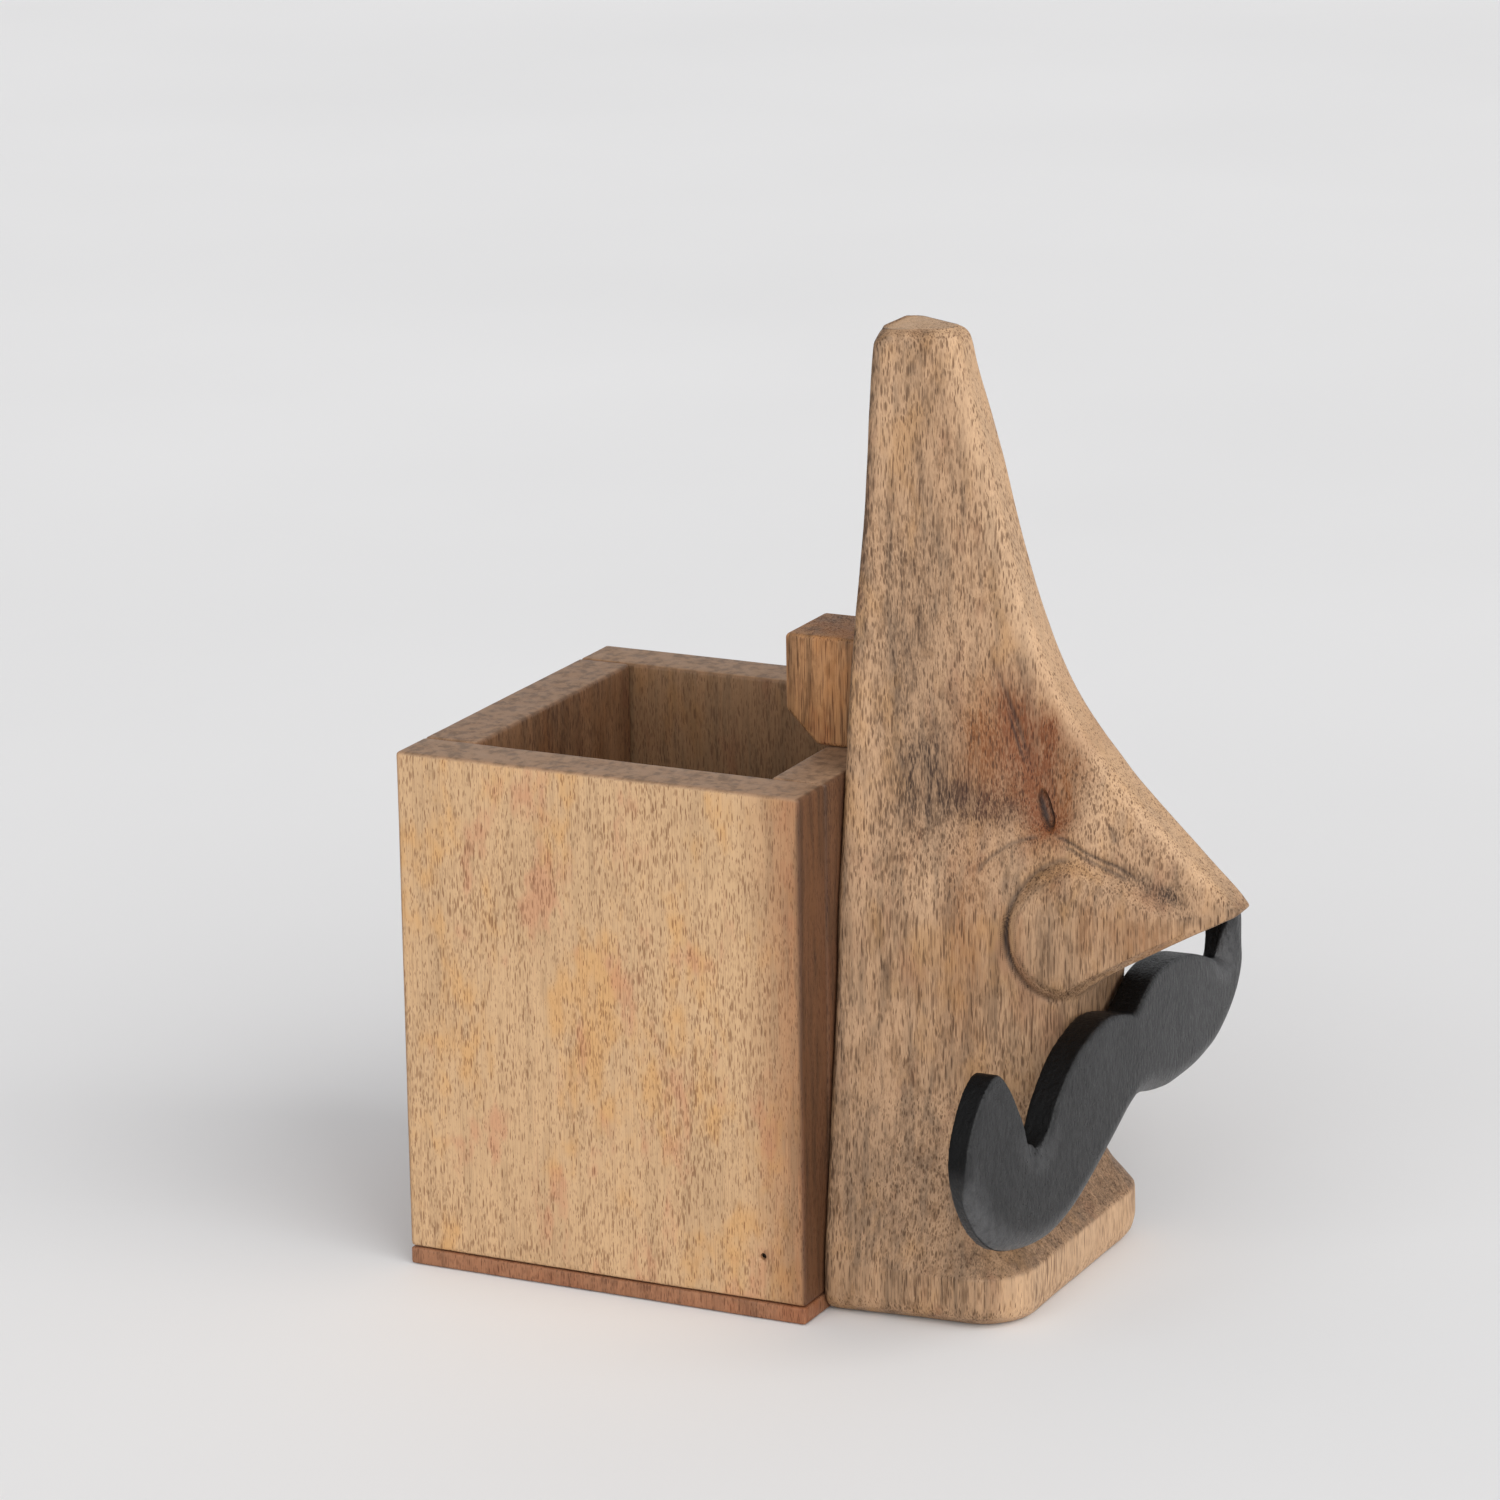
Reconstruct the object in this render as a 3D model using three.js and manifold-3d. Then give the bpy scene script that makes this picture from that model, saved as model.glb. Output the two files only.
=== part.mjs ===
// Eyeglasses display stand: a carved nose that holds the glasses, a painted moustache,
// and a square pen well fixed to the flat back of the nose.
// Millimetres, +Z up. The nose points along -Y and X = 0 is the plane of symmetry.
// The origin is on the table, under the middle of the bounding box.
import * as THREE from 'three';
import { TessellateModifier } from 'three/addons/modifiers/TessellateModifier.js';
import { mergeVertices } from 'three/addons/utils/BufferGeometryUtils.js';
import Module from 'manifold-3d';

// Pen well
const WELL_WIDTH = 72;            // along X
const WELL_DEPTH = 70;            // along Y
const WELL_HEIGHT = 85;           // table to rim
const WALL = 9.5;                 // thickness of the four walls
const BASE = 3;                   // thickness of the bottom plate

// Nose
const NOSE_HEIGHT = 152;
const NOSE_REACH = 58.2;          // flat back to tip of the nose
const TIP_Z = 65.2;
const JOINT_Y = (NOSE_REACH - WELL_DEPTH) / 2;   // plane where the nose meets the well
const PAD_REACH = 34.5;           // flat pad under the nose that carries the moustache
const CORNER = 0.16;              // rounding of the front corners, as a share of the section

// Nose sections, from the table up: height, half width at the back, reach of the
// front face from the back, and half width of that front face.
const SECTIONS = [
  [0, 26.8, 30, 24.4],
  [1.2, 28.4, 30.8, 26],
  [3.6, 29.6, 31, 27],
  [8, 29.7, 31, 27],
  [16, 28.9, 26.5, 25],
  [31, 27.1, PAD_REACH - 2, 16],
  [36, 26.5, PAD_REACH, 12],
  [51, 24.7, PAD_REACH, 10.8],
  [TIP_Z, 23.3, NOSE_REACH, 2.6],
  [76, 21.8, 46.8, 2.8],
  [86, 20.6, 36.8, 3],
  [96.4, 19.2, 29, 3],
  [110, 16.4, 23, 3],
  [131, 12.2, 17.3, 2.8],
  [149, 9.4, 12.2, 2.5],
  [151.2, 8.9, 11.5, 2.3],
  [NOSE_HEIGHT, 7.9, 10.6, 1.8],
];
const LAYERS = 56;                // layers of the nose between table and top

// Nostril wing: a round swelling on each side of the nose
const WING_REACH = 33.5;
const WING_Z = 61;
const WING_RADIUS = 11;
const WING_SWELL = 2.6;

// Moustache
const HAIR_THICK = 5.5;
const HAIR_FRONT = 40.5;          // reach of its front face at the middle
const HAIR_SWEEP_LEFT = 0.00156;  // backward curve: reach lost per square mm of half span
const HAIR_SWEEP_RIGHT = 0.001;
const HAIR_TILT = 0.1256;         // it sits a little askew, its right end high
const HAIR_Z = 38.5;              // height of the point it is turned about
const HAIR_SHIFT = 0.96;          // centres it again after the turn
const HAIR_THIN = 0.35;           // share of the thickness lost at the left end
const HAIR_SPAN = 54.7;           // left half span before the turn
const HAIR_BEVEL = 0.9;
const HAIR_EDGE = 7;              // longest triangle edge before it is curved

// Block on the rim behind the nose
const BRACE_WIDTH = 14.6;
const BRACE_DEPTH = 16;
const BRACE_HEIGHT = 17.6;
const BRACE_CHAMFER = 5.4;

// Fasteners
const GAP = 0.3;                  // clearance between a fastener and its hole
const OVERCUT = 0.1;              // overlap of two cutting shapes that make one hole
const SCREW_RADIUS = 2;
const SCREW_HEAD = 4;
const SCREW_LENGTH = 25;
const SCREW_SINK = 0.6;           // depth of the heads below the face they are driven into
const NOSE_SCREW_Z = [24, 66];
const BRACE_SCREW_LENGTH = 23;
const BRACE_SCREW_Z = 95;
const DOWEL_RADIUS = 2.5;
const DOWEL_LENGTH = 14;
const DOWEL_X = 6.5;
const DOWEL_Z = 39;
const PIN_RADIUS = 0.8;
const PIN_LENGTH = 23;
const PIN_SINK = 0.8;             // depth of the heads below the face they are driven into
const PIN_INSET = 7.2;            // from the end of the side panel
const PIN_Z = [10.5, 74];
const BASE_PIN_LENGTH = 15;
const BASE_PIN_Y = 24;            // from the middle of the well

const WELL_Y = JOINT_Y + WELL_DEPTH / 2;         // middle of the well
const SIDES = [['left', -1], ['right', 1]];

const wasm = await Module();
wasm.setup();

// A closed mesh as a solid for joining and cutting
function solid(geometry) {
  const bare = geometry.index ? geometry.toNonIndexed() : geometry.clone();
  bare.deleteAttribute('normal');
  bare.deleteAttribute('uv');
  const merged = mergeVertices(bare, 1e-4);
  return new wasm.Manifold(new wasm.Mesh({
    numProp: 3,
    vertProperties: new Float32Array(merged.attributes.position.array),
    triVerts: new Uint32Array(merged.index.array),
  }));
}

function surface(manifold) {
  const mesh = manifold.getMesh();
  const geometry = new THREE.BufferGeometry();
  geometry.setAttribute('position', new THREE.BufferAttribute(mesh.vertProperties, 3));
  geometry.setIndex(new THREE.BufferAttribute(mesh.triVerts, 1));
  geometry.computeVertexNormals();
  return geometry;
}

function cut(geometry, holes) {
  let result = solid(geometry);
  for (const hole of holes) {
    result = result.subtract(solid(hole));
  }
  return surface(result);
}

function block(x0, x1, y0, y1, z0, z1) {
  const geometry = new THREE.BoxGeometry(x1 - x0, y1 - y0, z1 - z0);
  return geometry.translate((x0 + x1) / 2, (y0 + y1) / 2, (z0 + z1) / 2);
}

// A round rod from one point along a direction
function rod(radius, length, start, direction) {
  const along = new THREE.Vector3(...direction);
  const turn = new THREE.Quaternion().setFromUnitVectors(new THREE.Vector3(0, 1, 0), along);
  const middle = new THREE.Vector3(...start).addScaledVector(along, length / 2);
  const geometry = new THREE.CylinderGeometry(radius, radius, length, 16);
  return geometry.applyQuaternion(turn).translate(middle.x, middle.y, middle.z);
}

// Reach, back half width and front half width of the nose at one height
function sectionAt(z) {
  let upper = SECTIONS.findIndex((row) => row[0] >= z);
  upper = Math.max(upper, 1);
  const low = SECTIONS[upper - 1];
  const high = SECTIONS[upper];
  const share = (z - low[0]) / (high[0] - low[0]);
  return low.map((value, i) => THREE.MathUtils.lerp(value, high[i], share));
}

// Half width of the nose at a height and at a share (0 back, 1 front) of its reach
function halfWidth(z, share) {
  const [, back, reach, front] = sectionAt(z);
  const across = (share * reach - WING_REACH) / WING_RADIUS;
  const up = (z - WING_Z) / WING_RADIUS;
  const swell = Math.exp(-Math.pow(across * across + up * up, 2));
  return THREE.MathUtils.lerp(back, front, share) + WING_SWELL * swell;
}

// Layer heights: every section height, with even steps between them
function layerHeights() {
  const heights = [];
  for (let i = 1; i < SECTIONS.length; i += 1) {
    const low = SECTIONS[i - 1][0];
    const high = SECTIONS[i][0];
    const parts = Math.max(1, Math.round((high - low) * LAYERS / NOSE_HEIGHT));
    for (let k = 0; k < parts; k += 1) {
      heights.push(low + (high - low) * k / parts);
    }
  }
  heights.push(NOSE_HEIGHT);
  return heights;
}

// The nose: a unit section, round at the front corners, stretched layer by layer
function noseBody() {
  const heights = layerHeights();
  const outline = new THREE.Shape();
  outline.moveTo(-1, 0);
  outline.lineTo(1, 0);
  for (let share = 0.1; share < 1 - CORNER; share += 0.1) {
    outline.lineTo(1, share);
  }
  outline.lineTo(1, 1 - CORNER);
  outline.absarc(1 - CORNER, 1 - CORNER, CORNER, 0, Math.PI / 2, false);
  outline.absarc(-1 + CORNER, 1 - CORNER, CORNER, Math.PI / 2, Math.PI, false);
  for (let share = 0.8; share > 0.05; share -= 0.1) {
    outline.lineTo(-1, share);
  }
  outline.closePath();
  const steps = heights.length - 1;
  const geometry = new THREE.ExtrudeGeometry(outline, {
    depth: steps, steps, bevelEnabled: false, curveSegments: 6,
  });
  const position = geometry.attributes.position;
  for (let i = 0; i < position.count; i += 1) {
    const z = heights[Math.round(position.getZ(i))];
    const share = position.getY(i);
    const x = position.getX(i) * halfWidth(z, share);
    position.setXYZ(i, x, JOINT_Y - share * sectionAt(z)[2], z);
  }
  return flipped(geometry);
}

// Turns every face of a mesh over, after its points were mirrored
function flipped(geometry) {
  const position = geometry.attributes.position;
  const a = new THREE.Vector3();
  const b = new THREE.Vector3();
  for (let i = 0; i < position.count; i += 3) {
    a.fromBufferAttribute(position, i + 1);
    b.fromBufferAttribute(position, i + 2);
    position.setXYZ(i + 1, b.x, b.y, b.z);
    position.setXYZ(i + 2, a.x, a.y, a.z);
  }
  return geometry;
}

// Outline of the moustache, half by half, from the notch at the top of the middle, over
// the hump, down into the curl, round its end and back along the bottom. It is carved by
// hand: the right curl is lower and narrower than the left.
function hairOutline() {
  const left = [
    [6.7, 48.3], [12, 49.2], [18.1, 48.7], [23.5, 46.7], [28.6, 43], [31.4, 39.3],
    [33.8, 37.4], [36.6, 40.4], [39.2, 46], [41.6, 51.2], [44.6, 54.8], [48, 53.9],
    [51.2, 51], [53.6, 47.1], [54.7, 43], [54.3, 38.4], [52.6, 34], [49.7, 29.4],
    [45.2, 25.2], [38.5, 22.4], [31.8, 21.2], [25.2, 21.7], [18.2, 23.8], [11.3, 26.4],
    [4.6, 29],
  ];
  const right = [
    [4, 47], [8.5, 48.3], [14.5, 47.8], [20.8, 46.3], [27.2, 43.8], [34.8, 39.8],
    [41, 36.7], [43.8, 35.7], [45.2, 38.6], [46, 41.6], [47.2, 43.8], [48.8, 44.2],
    [50.6, 42.6], [52.1, 39.6], [52.8, 35.5], [52.5, 32], [50.6, 29.2], [46.9, 26.5],
    [41.3, 24.3], [34.7, 23.4], [26.5, 23.7], [16.2, 25.2], [10, 27], [4.6, 29],
  ];
  const points = [[0, 45.5], ...right, [0, 30], ...left.reverse().map(([x, z]) => [-x, z])];
  return new THREE.Shape(points.reverse().map(([x, z]) => new THREE.Vector2(x, z)));
}

function hairReach(x) {
  return HAIR_FRONT - (x < 0 ? HAIR_SWEEP_LEFT : HAIR_SWEEP_RIGHT) * x * x;
}

function moustacheBody() {
  const flat = new THREE.ExtrudeGeometry(hairOutline(), {
    depth: HAIR_THICK - 2 * HAIR_BEVEL,
    bevelEnabled: true,
    bevelThickness: HAIR_BEVEL,
    bevelSize: HAIR_BEVEL,
    bevelOffset: -HAIR_BEVEL,
    bevelSegments: 2,
    steps: 1,
  });
  const geometry = new TessellateModifier(HAIR_EDGE, 12).modify(flat);
  const position = geometry.attributes.position;
  for (let i = 0; i < position.count; i += 1) {
    const x = position.getX(i);
    const z = position.getY(i);
    const thin = x < 0 ? 1 - HAIR_THIN * Math.pow(x / HAIR_SPAN, 2) : 1;
    const behind = (HAIR_THICK - HAIR_BEVEL - position.getZ(i)) * thin;
    position.setXYZ(i, x, JOINT_Y - hairReach(x) + behind, z - HAIR_Z);
  }
  geometry.rotateY(-HAIR_TILT);
  geometry.translate(HAIR_SHIFT, 0, HAIR_Z);
  return geometry;
}

function braceBody() {
  const side = new THREE.Shape();
  side.moveTo(0, 0);
  side.lineTo(BRACE_DEPTH - BRACE_CHAMFER, 0);
  side.lineTo(BRACE_DEPTH, BRACE_CHAMFER);
  side.lineTo(BRACE_DEPTH, BRACE_HEIGHT - 1);
  side.lineTo(BRACE_DEPTH - 1, BRACE_HEIGHT);
  side.lineTo(0, BRACE_HEIGHT);
  side.closePath();
  const geometry = new THREE.ExtrudeGeometry(side, { depth: BRACE_WIDTH, bevelEnabled: false });
  geometry.rotateX(Math.PI / 2);
  geometry.rotateZ(Math.PI / 2);
  return geometry.translate(-BRACE_WIDTH / 2, JOINT_Y, WELL_HEIGHT);
}

// A countersunk wood screw, head at the start, point along -Y
function screw(length, x, headY, z, extra) {
  const shank = SCREW_RADIUS + extra;
  const head = SCREW_HEAD + extra;
  const profile = [
    [0, 0], [head, 0], [head, 0.6], [shank, 0.6 + SCREW_HEAD - SCREW_RADIUS],
    [shank, length - 3], [0, length + extra],
  ].map(([r, along]) => new THREE.Vector2(r, along));
  const geometry = new THREE.LatheGeometry(profile, 20);
  geometry.rotateX(Math.PI);
  return geometry.translate(x, headY, z);
}

// The same shape with clearance, and a round opening from its head out through the face
function screwHole(length, x, headY, z) {
  const mouth = 2 * SCREW_SINK + OVERCUT;
  const open = rod(SCREW_HEAD + GAP, mouth, [x, headY - OVERCUT, z], [0, 1, 0]);
  return [screw(length, x, headY, z, GAP), open];
}

function dowelAt(x, extra) {
  const front = JOINT_Y - HAIR_FRONT + 2.5 - extra;
  return rod(DOWEL_RADIUS + extra, DOWEL_LENGTH + 2 * extra, [x, front, DOWEL_Z], [0, 1, 0]);
}

// Corner pins run through a side panel into the end of a panel between the sides
function cornerPin(side, y, z) {
  return rod(PIN_RADIUS, PIN_LENGTH, [side * (WELL_WIDTH / 2 - PIN_SINK), y, z], [-side, 0, 0]);
}

function cornerHole(side, y, z) {
  const start = [side * (WELL_WIDTH / 2 + GAP), y, z];
  return rod(PIN_RADIUS + GAP, PIN_LENGTH + PIN_SINK + 2 * GAP, start, [-side, 0, 0]);
}

// Base pins run up through the bottom plate into the side panels
const BASE_PIN_X = WELL_WIDTH / 2 - WALL / 2;

function basePin(side, y) {
  return rod(PIN_RADIUS, BASE_PIN_LENGTH, [side * BASE_PIN_X, y, PIN_SINK], [0, 0, 1]);
}

function baseHole(side, y) {
  const length = BASE_PIN_LENGTH + PIN_SINK + 2 * GAP;
  return rod(PIN_RADIUS + GAP, length, [side * BASE_PIN_X, y, -GAP], [0, 0, 1]);
}

const END_Y = { nose: JOINT_Y + PIN_INSET, rear: JOINT_Y + WELL_DEPTH - PIN_INSET };
const BASE_PIN_YS = { nose: WELL_Y - BASE_PIN_Y, rear: WELL_Y + BASE_PIN_Y };
const SCREW_HEAD_Y = JOINT_Y + WALL - SCREW_SINK;
const BRACE_HEAD_Y = JOINT_Y + BRACE_DEPTH - SCREW_SINK;

const wood = (color) => new THREE.MeshStandardMaterial({ color, roughness: 0.62, metalness: 0 });
const steel = new THREE.MeshStandardMaterial({ color: 0x8d8f92, roughness: 0.4, metalness: 1 });
const paint = new THREE.MeshStandardMaterial({ color: 0x2b2c2e, roughness: 0.42, metalness: 0 });

const stand = new THREE.Group();

function add(name, geometry, material) {
  const mesh = new THREE.Mesh(geometry, material);
  mesh.name = name;
  stand.add(mesh);
}

// Nose, with holes for its screws and for the moustache dowels
const noseHoles = [
  ...NOSE_SCREW_Z.flatMap((z) => screwHole(SCREW_LENGTH, 0, SCREW_HEAD_Y, z)),
  ...screwHole(BRACE_SCREW_LENGTH, 0, BRACE_HEAD_Y, BRACE_SCREW_Z),
  dowelAt(-DOWEL_X, GAP),
  dowelAt(DOWEL_X, GAP),
];
add('nose_block', cut(noseBody(), noseHoles), wood(0xa8855f));
add('moustache', cut(moustacheBody(), [dowelAt(-DOWEL_X, GAP), dowelAt(DOWEL_X, GAP)]), paint);

// Pen well
for (const [name, side] of SIDES) {
  const inner = side * (WELL_WIDTH / 2 - WALL);
  const outer = side * WELL_WIDTH / 2;
  const panel = block(Math.min(inner, outer), Math.max(inner, outer),
    JOINT_Y, JOINT_Y + WELL_DEPTH, BASE, WELL_HEIGHT);
  const holes = [];
  for (const y of Object.values(END_Y)) {
    PIN_Z.forEach((z) => holes.push(cornerHole(side, y, z)));
  }
  Object.values(BASE_PIN_YS).forEach((y) => holes.push(baseHole(side, y)));
  add(`side_panel_${name}`, cut(panel, holes), wood(0xc6a37c));
}

function endPanel(y0, y1, pinY, extraHoles) {
  const half = WELL_WIDTH / 2 - WALL;
  const panel = block(-half, half, y0, y1, BASE, WELL_HEIGHT);
  const pins = SIDES.flatMap(([, side]) => PIN_Z.map((z) => cornerHole(side, pinY, z)));
  return cut(panel, [...pins, ...extraHoles]);
}

const throughNose = NOSE_SCREW_Z.flatMap((z) => screwHole(SCREW_LENGTH, 0, SCREW_HEAD_Y, z));
add('nose_side_panel', endPanel(JOINT_Y, JOINT_Y + WALL, END_Y.nose, throughNose), wood(0x9a774f));
add('rear_panel', endPanel(JOINT_Y + WELL_DEPTH - WALL, JOINT_Y + WELL_DEPTH, END_Y.rear, []),
  wood(0x9a774f));

const plate = block(-WELL_WIDTH / 2, WELL_WIDTH / 2, JOINT_Y, JOINT_Y + WELL_DEPTH, 0, BASE);
const plateHoles = SIDES.flatMap(([, side]) => (
  Object.values(BASE_PIN_YS).map((y) => baseHole(side, y))
));
add('bottom_plate', cut(plate, plateHoles), wood(0x8a5a3c));

const braceHoles = screwHole(BRACE_SCREW_LENGTH, 0, BRACE_HEAD_Y, BRACE_SCREW_Z);
add('brace_block', cut(braceBody(), braceHoles), wood(0xa37a52));

// Fasteners
add('nose_screw_lower', screw(SCREW_LENGTH, 0, SCREW_HEAD_Y, NOSE_SCREW_Z[0], 0), steel);
add('nose_screw_upper', screw(SCREW_LENGTH, 0, SCREW_HEAD_Y, NOSE_SCREW_Z[1], 0), steel);
add('brace_screw', screw(BRACE_SCREW_LENGTH, 0, BRACE_HEAD_Y, BRACE_SCREW_Z, 0), steel);
for (const [name, side] of SIDES) {
  add(`moustache_dowel_${name}`, dowelAt(side * DOWEL_X, 0), wood(0xd2b48c));
  for (const [end, y] of Object.entries(END_Y)) {
    add(`corner_pin_${name}_${end}_lower`, cornerPin(side, y, PIN_Z[0]), steel);
    add(`corner_pin_${name}_${end}_upper`, cornerPin(side, y, PIN_Z[1]), steel);
  }
  for (const [end, y] of Object.entries(BASE_PIN_YS)) {
    add(`base_pin_${name}_${end}`, basePin(side, y), steel);
  }
}

export default stand;
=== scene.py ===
"""Looks of the eyeglasses display stand: carved nose, painted moustache and wooden pen well.

Metres in Blender, +Z up, the nose along -Y. Shapes are worked out in millimetres and then
fitted to the boxes of the CAD nodes, so every piece lies where its CAD solid lies.
"""
import math

import bmesh
import bpy
import numpy as np
from mathutils import Matrix, Vector, noise


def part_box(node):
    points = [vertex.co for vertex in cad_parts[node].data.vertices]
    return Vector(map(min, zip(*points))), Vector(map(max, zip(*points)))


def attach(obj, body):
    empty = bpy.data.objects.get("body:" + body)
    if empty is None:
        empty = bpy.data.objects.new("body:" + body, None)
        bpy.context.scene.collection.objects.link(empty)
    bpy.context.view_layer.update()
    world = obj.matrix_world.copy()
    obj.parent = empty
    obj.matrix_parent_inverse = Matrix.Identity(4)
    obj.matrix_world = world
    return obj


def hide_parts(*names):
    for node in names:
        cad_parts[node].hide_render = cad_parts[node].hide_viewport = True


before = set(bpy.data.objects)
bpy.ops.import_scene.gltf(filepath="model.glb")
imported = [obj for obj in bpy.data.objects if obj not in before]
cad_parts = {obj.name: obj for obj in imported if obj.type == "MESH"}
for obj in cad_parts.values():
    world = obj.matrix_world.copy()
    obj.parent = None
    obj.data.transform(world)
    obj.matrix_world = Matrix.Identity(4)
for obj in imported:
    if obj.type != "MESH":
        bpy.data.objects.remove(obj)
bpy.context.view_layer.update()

MM = 0.001

# Camera: the point it looks at, in millimetres, and how it looks at it
CAMERA_TARGET = (-6.24, 16.86, 82.68)
CAMERA_AZIMUTH = -63.76
CAMERA_ELEVATION = 15.55
CAMERA_ROLL = -0.9
CAMERA_DISTANCE = 965.16
CAMERA_LENS = 147.47

# Layers of grain dashes: cells for each millimetre across and along the grain, and a shift
PORE_LAYERS = ((2.4, 0.4, 0), (3.1, 0.6, 4), (2.0, 0.34, 9), (3.6, 0.8, 14))

# Pins and screws: sides of each round, and the plain and pointed ends of a screw in millimetres
MOUTH_SHARE = 2 / 3
MOUTH_SIDES = 24
PIN_SIDES = 20
SCREW_SIDES = 28
SCREW_TURNS = 10
SCREW_PLAIN = 9.0
SCREW_END = 3.0


# ---------------------------------------------------------------- shape helpers

def smoothstep(low, high, value):
    t = np.clip((value - low) / (high - low), 0, 1)
    return t * t * (3 - 2 * t)


def smooth_curve(xs, ys, at):
    """Cubic through the points that never overshoots between them."""
    xs, ys, at = (np.asarray(a, float) for a in (xs, ys, at))
    h = np.diff(xs)
    slope = np.diff(ys) / h
    tangent = np.zeros_like(xs)
    for i in range(1, len(xs) - 1):
        if slope[i - 1] * slope[i] > 0:
            w1 = 2 * h[i] + h[i - 1]
            w2 = h[i] + 2 * h[i - 1]
            tangent[i] = (w1 + w2) / (w1 / slope[i - 1] + w2 / slope[i])
    tangent[0], tangent[-1] = slope[0], slope[-1]
    k = np.clip(np.searchsorted(xs, at) - 1, 0, len(xs) - 2)
    t = (at - xs[k]) / h[k]
    return (
        (2 * t**3 - 3 * t**2 + 1) * ys[k]
        + (t**3 - 2 * t**2 + t) * h[k] * tangent[k]
        + (-2 * t**3 + 3 * t**2) * ys[k + 1]
        + (t**3 - t**2) * h[k] * tangent[k + 1]
    )


def mesh_object(name, vertices, faces):
    mesh = bpy.data.meshes.new(name)
    mesh.from_pydata([tuple(v) for v in vertices], [], faces)
    mesh.update()
    mesh.shade_smooth()
    piece = bpy.data.objects.new(name, mesh)
    bpy.context.scene.collection.objects.link(piece)
    return piece


def solid(name, work):
    """An object made from a bmesh, which is freed."""
    mesh = bpy.data.meshes.new(name)
    work.to_mesh(mesh)
    work.free()
    piece = bpy.data.objects.new(name, mesh)
    bpy.context.scene.collection.objects.link(piece)
    return piece


def apply_modifiers(piece):
    depsgraph = bpy.context.evaluated_depsgraph_get()
    final = bpy.data.meshes.new_from_object(piece.evaluated_get(depsgraph))
    piece.modifiers.clear()
    piece.data = final


def cut(piece, tool, use_self=False):
    """Takes the tool out of the piece and removes the tool."""
    cutter = piece.modifiers.new("cut", "BOOLEAN")
    cutter.operation = "DIFFERENCE"
    cutter.object = tool
    cutter.use_self = use_self
    apply_modifiers(piece)
    bpy.data.objects.remove(tool)


def fit_to_box(piece, node):
    """Scales and moves the mesh so that its box is the CAD node's box."""
    low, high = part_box(node)
    co = np.empty(len(piece.data.vertices) * 3)
    piece.data.vertices.foreach_get("co", co)
    co = co.reshape(-1, 3)
    size = co.max(0) - co.min(0)
    scale = (np.array(high) - np.array(low)) / size
    co = np.array(low) + (co - co.min(0)) * scale
    piece.data.vertices.foreach_set("co", co.ravel())
    piece.data.update()


def finished(piece, material, slot, *nodes):
    piece.data.materials.clear()
    piece.data.materials.append(material)
    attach(piece, "root")
    if nodes:
        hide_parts(*nodes)
    return piece


def roughen(co, normals, size, depth, seed):
    """Uneven hand-finished surface: moves points inwards by soft noise."""
    shift = Vector((seed * 13.7, seed * 5.1, seed * 9.3))
    amount = [noise.noise(Vector(p) / size + shift) for p in co]
    inward = (np.array(amount) - 1) * 0.5 * depth
    return co + normals * inward[:, None]


# ---------------------------------------------------------------- material helpers

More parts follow.
